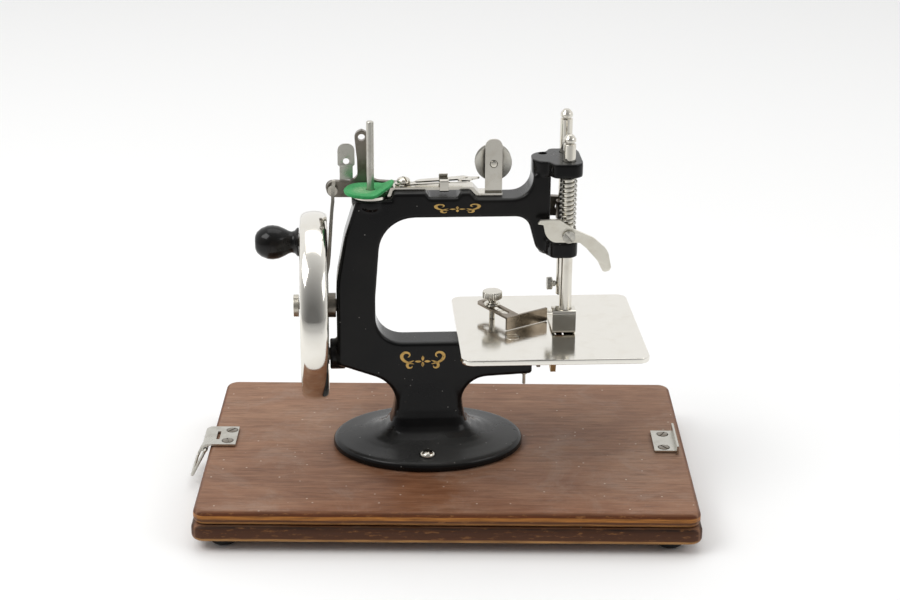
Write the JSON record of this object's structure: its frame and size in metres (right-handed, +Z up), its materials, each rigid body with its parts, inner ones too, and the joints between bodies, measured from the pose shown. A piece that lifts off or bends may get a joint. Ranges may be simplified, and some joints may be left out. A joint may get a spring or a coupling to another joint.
{
  "type": "toy sewing machine",
  "caption": "Small hand-cranked chain-stitch sewing machine with a cast arm, handwheel, needle and presser bars and cloth plate, screwed to a two-layer wooden board.",
  "frame": {"origin": "on the standing surface, under the middle of the whole outline", "axes": "+Z up; +X along the board towards the needle end; +Y away from the side with the lifting lever. The machine sits 3.5 degrees counterclockwise on the board"},
  "size_m": [0.2428, 0.1522, 0.1865],
  "materials": {
    "board_wood": "dark stained and varnished, worn",
    "ply_edge": "layered edge, oiled",
    "foot_rubber": "matt",
    "japan_black": "gloss black enamel",
    "bright_nickel": "polished nickel plate",
    "dull_nickel": "worn nickel plate",
    "dark_steel": "aged steel",
    "looper_brass": "satin",
    "black_wood": "gloss black lacquer",
    "felt": "green wool felt"
  },
  "bodies": {
    "base": {"upper_board": "board_wood", "lower_board": "ply_edge", "rubber_foot_1": "foot_rubber", "rubber_foot_2": "foot_rubber", "rubber_foot_3": "foot_rubber", "rubber_foot_4": "foot_rubber", "catch_plate_left": "dull_nickel", "catch_screw_left_1": "dark_steel", "catch_screw_left_2": "dark_steel", "catch_plate_right": "dull_nickel", "catch_screw_right_1": "dark_steel", "catch_screw_right_2": "dark_steel", "machine_frame": "japan_black", "base_screw_1": "bright_nickel", "base_screw_2": "bright_nickel", "wheel_stud": "dark_steel", "stud_screw": "dull_nickel", "feed_stop_pin": "dull_nickel", "cloth_plate": "bright_nickel", "plate_screw_1": "bright_nickel", "plate_screw_2": "bright_nickel", "top_plate": "bright_nickel", "top_plate_screw": "bright_nickel", "leaf_clip": "bright_nickel", "thread_leaf": "bright_nickel", "spool_pin": "bright_nickel", "felt_pad": "felt", "tension_stud": "bright_nickel", "tension_disc_front": "bright_nickel", "tension_spring": "dull_nickel", "lever_pivot_screw": "bright_nickel", "presser_spring": "dull_nickel"},
    "handwheel": {"handwheel": "bright_nickel", "drive_gear": "dark_steel", "crank_spindle": "dark_steel"},
    "crank_knob": {"crank_knob": "black_wood"},
    "looper_shaft": {"looper_shaft": "dark_steel", "shaft_pinion": "dark_steel", "looper": "looper_brass", "feed_cam": "dark_steel"},
    "feed_dog": {"feed_dog": "dark_steel"},
    "needle_lever": {"needle_lever": "dark_steel", "thread_eyelet": "bright_nickel", "link_screw": "dark_steel"},
    "needle_bar": {"needle_bar": "bright_nickel", "needle_bar_collar": "dark_steel", "needle": "bright_nickel"},
    "needle_clamp_screw": {"needle_clamp_screw": "dull_nickel"},
    "connecting_link": {"connecting_link": "dull_nickel"},
    "presser": {"presser_bar": "bright_nickel", "presser_collar": "dark_steel", "presser_foot": "bright_nickel", "lifting_screw": "dull_nickel"},
    "lifting_lever": {"lifting_lever": "dull_nickel"},
    "guide_washer": {"guide_washer": "bright_nickel"},
    "cloth_guide": {"cloth_guide": "dull_nickel"},
    "guide_thumbscrew": {"guide_thumbscrew": "bright_nickel"},
    "tension_disc": {"tension_disc_back": "bright_nickel"},
    "tension_nut": {"tension_nut": "bright_nickel"},
    "bail": {"bail": "bright_nickel"}
  },
  "joints": [
    {"name": "wheel_turn", "type": "hinge", "parent": "base", "child": "handwheel", "pos_m": [-0.0601, -0.00186, 0.093], "axis": [0.9981, 0.061, 0], "continuous": true},
    {"name": "knob_turn", "type": "hinge", "parent": "handwheel", "child": "crank_knob", "pos_m": [-0.07707, -0.0029, 0.125], "axis": [0.9981, 0.061, 0], "continuous": true},
    {"name": "shaft_turn", "type": "hinge", "parent": "base", "child": "looper_shaft", "pos_m": [-0.00521, 0.0015, 0.068], "axis": [0.9981, 0.061, 0], "continuous": true},
    {"name": "feed_slide", "type": "slide", "parent": "base", "child": "feed_dog", "axis": [-0.061, 0.9981, 0], "range_m": [-0.0007, 0.0007]},
    {"name": "lever_rock", "type": "hinge", "parent": "base", "child": "needle_lever", "pos_m": [-0.01799, 0.01394, 0.1441], "axis": [0.061, -0.9981, 0], "range_deg": [0, 11]},
    {"name": "needle_bar_slide", "type": "slide", "parent": "base", "child": "needle_bar", "axis": [0, 0, 1], "range_m": [0, 0.0152]},
    {"name": "link_slide", "type": "slide", "parent": "base", "child": "connecting_link", "axis": [0, 0, 1], "range_m": [-0.0066, 0]},
    {"name": "clamp_screw_turn", "type": "hinge", "parent": "needle_bar", "child": "needle_clamp_screw", "pos_m": [0.05273, 0.01256, 0.0997], "axis": [0.9981, 0.061, 0], "range_deg": [-180, 180]},
    {"name": "presser_slide", "type": "slide", "parent": "base", "child": "presser", "axis": [0, 0, 1], "range_m": [0, 0.006], "stiffness_N_per_m": 60, "springref_m": -0.01, "deforming": ["presser_spring"]},
    {"name": "lifter_turn", "type": "hinge", "parent": "presser", "child": "lifting_lever", "pos_m": [0.06015, -0.00733, 0.1307], "axis": [0.061, -0.9981, 0], "range_deg": [0, 60]},
    {"name": "guide_swing", "type": "hinge", "parent": "base", "child": "guide_washer", "pos_m": [0.02556, 0.0144, 0.0865], "axis": [0, 0, 1], "range_deg": [-35, 20]},
    {"name": "guide_slide", "type": "slide", "parent": "guide_washer", "child": "cloth_guide", "axis": [-0.5664, 0.8241, 0], "range_m": [0, 0.01]},
    {"name": "thumbscrew_turn", "type": "hinge", "parent": "base", "child": "guide_thumbscrew", "pos_m": [0.02556, 0.0144, 0.0905], "axis": [0, 0, 1], "range_deg": [-180, 180]},
    {"name": "tension_gap", "type": "slide", "parent": "base", "child": "tension_disc", "axis": [-0.061, 0.9981, 0], "range_m": [0, 0.0002], "stiffness_N_per_m": 200, "springref_m": -0.001},
    {"name": "tension_nut_turn", "type": "hinge", "parent": "base", "child": "tension_nut", "pos_m": [0.02414, 0.01632, 0.1626], "axis": [-0.061, 0.9981, 0], "range_deg": [-180, 180]},
    {"name": "bail_swing", "type": "hinge", "parent": "base", "child": "bail", "pos_m": [-0.11361, 0.004, 0.0191], "axis": [0, 1, 0], "range_deg": [-20, 150]}
  ],
  "couplings": [
    {"joint": "shaft_turn", "follows": "wheel_turn", "ratio": -1},
    {"joint": "needle_bar_slide", "follows": "lever_rock", "m_per_rad": 0.0767},
    {"joint": "link_slide", "follows": "lever_rock", "m_per_rad": -0.03287},
    {"joint": "lifter_turn", "follows": "presser_slide", "rad_per_m": 174.52}
  ]
}
